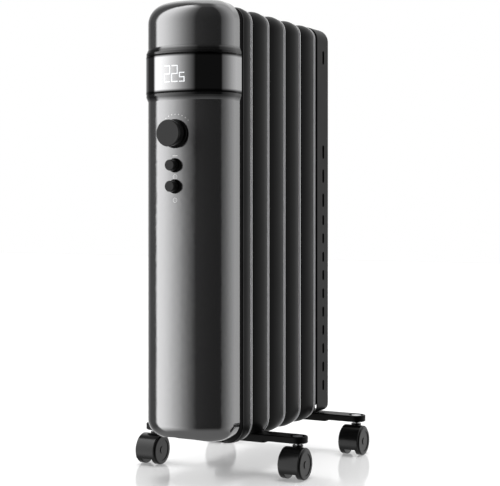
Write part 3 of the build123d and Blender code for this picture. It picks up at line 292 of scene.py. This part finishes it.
USES = {
    "fin": ["fin_1", "fin_2", "fin_3", "fin_4", "fin_5"],
    "steel_black": ["rear_cover", "front_foot", "rear_foot"],
    "shell": ["lower_housing", "top_cap"],
    "window": ["display_window"],
    "digits": ["display_digits"],
    "element": ["end_element", "duct_end_caps", "filler_boss", "foot_brackets"],
    "brass": ["oil_filler_plug", "heating_element"],
    "zinc": ["foot_bolts", "foot_nuts", "castor_nuts", "castor_stems", "tower_screws", "standoffs",
             "standoff_nuts", "thermostat_shaft"],
    "sheet": ["back_plate"],
    "knob": ["knob"],
    "button": ["power_button", "mode_button"],
    "gloss": ["knob_bezel", "button_bezels"],
    "inner": ["thermostat", "button_switches", "terminal_block", "thermal_cutout", "tip_over_switch",
              "band_carrier", "board_spacers"],
    "board": ["control_board", "power_board", "display_module"],
    "rubber": ["cord_gland"],
}
for name in nodes:
    if name.endswith("_hood"):
        USES.setdefault("hood", []).append(name)
    if name.endswith("_axle"):
        USES["zinc"].append(name)
    if "_wheel_" in name:
        USES.setdefault("wheel", []).append(name)
for finish, members in USES.items():
    for name in members:
        mesh = nodes[name].data
        mesh.materials.clear()
        mesh.materials.append(FINISHES[finish])


# ---------------------------------------------------------------- studio
def studio_world():
    """Pale room: a broad soft light on the left, a dark gap, a second light on the right."""
    world = bpy.data.worlds.new("studio")
    bpy.context.scene.world = world
    world.use_nodes = True
    g = Graph(world.node_tree)
    direction = g.add("ShaderNodeTexCoord").outputs["Generated"]
    way = g.add("ShaderNodeSeparateXYZ", inputs={"Vector": direction})
    azimuth = g.math("ARCTAN2", way.outputs[0], g.math("MULTIPLY", way.outputs[1], -1.0))
    degrees = g.math("MULTIPLY", azimuth, 180 / math.pi)
    share = g.ramp(degrees, -180, 180, 0, 1)
    band = g.add("ShaderNodeValToRGB", inputs={"Fac": share})
    band.color_ramp.interpolation = "LINEAR"
    points = band.color_ramp.elements
    for point, position in ((points[0], 0.0), (points[1], 1.0)):
        point.position = position
        point.color = grey(ROOM[0][1])
    for angle, value in ROOM[1:]:
        point = points.new((angle + 180) / 360)
        point.color = grey(value)
    up = way.outputs[2]
    high = g.ramp(up, 0.95, 0.99, 0.0, 1.0)
    deep = g.ramp(up, -0.42, -0.70, 0.0, 1.0)
    lights = g.mix(deep, g.mix(high, band.outputs[0], grey(CEILING_LEVEL)), grey(GROUND_LEVEL))
    room = g.add("ShaderNodeBackground", inputs={"Color": lights, "Strength": 1.0})
    backdrop = g.add("ShaderNodeBackground", inputs={"Color": (1, 1, 1, 1), "Strength": 1.0})
    seen = g.add("ShaderNodeLightPath").outputs["Is Camera Ray"]
    choice = g.add("ShaderNodeMixShader", inputs={"Fac": seen})
    g.tree.links.new(room.outputs[0], choice.inputs[1])
    g.tree.links.new(backdrop.outputs[0], choice.inputs[2])
    g.add("ShaderNodeOutputWorld", inputs={"Surface": choice.outputs[0]})


def floor():
    """White studio floor with a soft sheen that fades into the backdrop."""
    mesh = bpy.data.meshes.new("floor")
    far = FLOOR_SIZE
    mesh.from_pydata([(-far, -far, 0), (far, -far, 0), (far, far, 0), (-far, far, 0)], [],
                     [(0, 1, 2, 3)])
    plane = bpy.data.objects.new("floor", mesh)
    bpy.context.scene.collection.objects.link(plane)
    material = bpy.data.materials.new("floor_white")
    material.use_nodes = True
    g = Graph(material.node_tree)
    haze = g.ramp(g.noise(2.5), 0.3, 0.7, 0.09, 0.13)
    gloss = g.add("ShaderNodeBsdfAnisotropic", inputs={"Color": grey(1.0), "Roughness": haze})
    matt = g.add("ShaderNodeBsdfDiffuse", inputs={"Color": grey(0.9)})
    glow = g.add("ShaderNodeEmission", inputs={"Color": (1, 1, 1, 1), "Strength": 1.05})
    lower = g.add("ShaderNodeMixShader", inputs={"Fac": 0.35})
    g.tree.links.new(matt.outputs[0], lower.inputs[1])
    g.tree.links.new(glow.outputs[0], lower.inputs[2])
    whole = g.add("ShaderNodeMixShader", inputs={"Fac": 0.30})
    g.tree.links.new(lower.outputs[0], whole.inputs[1])
    g.tree.links.new(gloss.outputs[0], whole.inputs[2])
    g.add("ShaderNodeOutputMaterial", inputs={"Surface": whole.outputs[0]})
    plane.visible_glossy = False
    plane.visible_diffuse = False
    mesh.materials.append(material)
    return plane


def overhead_light(receiver):
    """Broad soft light straight above, which leaves a soft shadow of the heater on the floor."""
    data = bpy.data.lights.new("overhead", "SUN")
    data.energy = 3.0
    data.angle = math.radians(40)
    lamp = bpy.data.objects.new("overhead", data)
    bpy.context.scene.collection.objects.link(lamp)
    lamp.location = (0, 0, 2.0)
    lamp.visible_glossy = False
    lit = bpy.data.collections.new("lit_from_above")
    lit.objects.link(receiver)
    lamp.light_linking.receiver_collection = lit


def camera():
    """Camera level with the middle of the heater, toward its front right."""
    data = bpy.data.cameras.new("photo")
    data.sensor_width = 36.0
    data.lens = CAMERA_LENS
    data.shift_y = CAMERA_SHIFT
    data.clip_end = 50.0
    eye = bpy.data.objects.new("photo", data)
    bpy.context.scene.collection.objects.link(eye)
    eye.location = CAMERA_PLACE
    eye.rotation_euler = (math.pi / 2, 0, CAMERA_TURN)
    bpy.context.scene.camera = eye


studio_world()
overhead_light(floor())
camera()
bpy.context.scene.view_settings.view_transform = "Standard"
